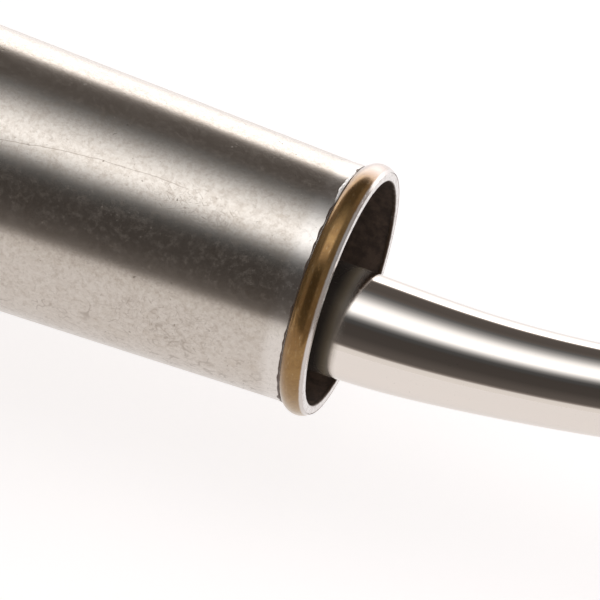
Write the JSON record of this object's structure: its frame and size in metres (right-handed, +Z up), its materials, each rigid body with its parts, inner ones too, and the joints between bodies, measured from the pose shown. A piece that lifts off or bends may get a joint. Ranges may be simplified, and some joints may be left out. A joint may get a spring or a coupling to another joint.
{
  "type": "oil burner nozzle",
  "caption": "Oil burner nozzle: flanged tapering air tube with a beaded mouth, rear air drum with turning shutter, needle valve, and a curved tapering oil spout that swivels inside.",
  "frame": {"origin": "on the air tube's axis, in the front face of the mounting flange's gasket", "axes": "+X along the air tube and out of its mouth, +Z up, -Y towards the side the spout lies off the axis"},
  "size_m": [0.4299, 0.116, 0.116],
  "materials": {
    "plated_steel": "worn nickel plate, scratched",
    "bright_steel": "bright turned",
    "bead_brass": "tarnished",
    "solder": "dull dark solder",
    "cast_iron": "painted casting",
    "gasket": "matte fibre",
    "screw_steel": "zinc plated",
    "brass": "satin machined",
    "packing": "graphited",
    "copper": "annealed",
    "wheel_paint": "semi-gloss enamel",
    "polished_chrome": "mirror polished",
    "sintered_bronze": "grainy sintered"
  },
  "bodies": {
    "burner_housing": {"air_tube": "plated_steel", "mouth_rim": "bright_steel", "mouth_bead": "bead_brass", "bead_solder": "solder", "mounting_flange": "cast_iron", "flange_gasket": "gasket", "air_drum": "cast_iron", "drum_screws": "screw_steel", "stop_pin": "screw_steel", "rear_cover": "cast_iron", "cover_screws": "screw_steel", "pipe_spider": "cast_iron", "spider_screws": "screw_steel", "valve_body": "brass", "valve_lock_nut": "brass", "tail_packing": "packing", "tail_gland_nut": "brass", "valve_seat": "bright_steel", "bonnet": "brass", "bonnet_washer": "copper", "spindle_packing": "packing", "spindle_gland_nut": "brass", "inlet_nipple": "brass", "nipple_washer": "copper", "inlet_sieve": "bright_steel"},
    "air_shutter": {"shutter_band": "bright_steel", "shutter_lug": "brass", "shutter_screw": "brass"},
    "spout": {"tail_tube": "brass", "tail_keepers": "screw_steel", "keeper_screws": "screw_steel", "spout_socket": "brass", "nozzle_pipe": "polished_chrome", "nozzle_adapter": "brass", "nozzle_body": "brass", "orifice_disc": "bright_steel", "swirl_insert": "brass", "swirl_keeper": "brass", "nozzle_filter": "sintered_bronze"},
    "valve_needle": {"needle": "bright_steel"},
    "valve_handwheel": {"spindle": "bright_steel", "handwheel": "wheel_paint", "wheel_washer": "screw_steel", "wheel_nut": "brass"}
  },
  "joints": [
    {"name": "spout_swivel", "type": "hinge", "parent": "burner_housing", "child": "spout", "pos_m": [0, 0, 0], "axis": [1, 0, 0], "range_deg": [-45, 45]},
    {"name": "shutter_turn", "type": "hinge", "parent": "burner_housing", "child": "air_shutter", "pos_m": [-0.057, 0, 0], "axis": [1, 0, 0], "range_deg": [0, 45]},
    {"name": "needle_slide", "type": "slide", "parent": "burner_housing", "child": "valve_needle", "axis": [-1, 0, 0], "range_m": [0, 0.0031]},
    {"name": "handwheel_turn", "type": "hinge", "parent": "valve_needle", "child": "valve_handwheel", "pos_m": [-0.1675, 0, 0], "axis": [-1, 0, 0], "range_deg": [0, 720]}
  ],
  "couplings": [
    {"joint": "needle_slide", "follows": "handwheel_turn", "m_per_rad": 0.00023873}
  ]
}
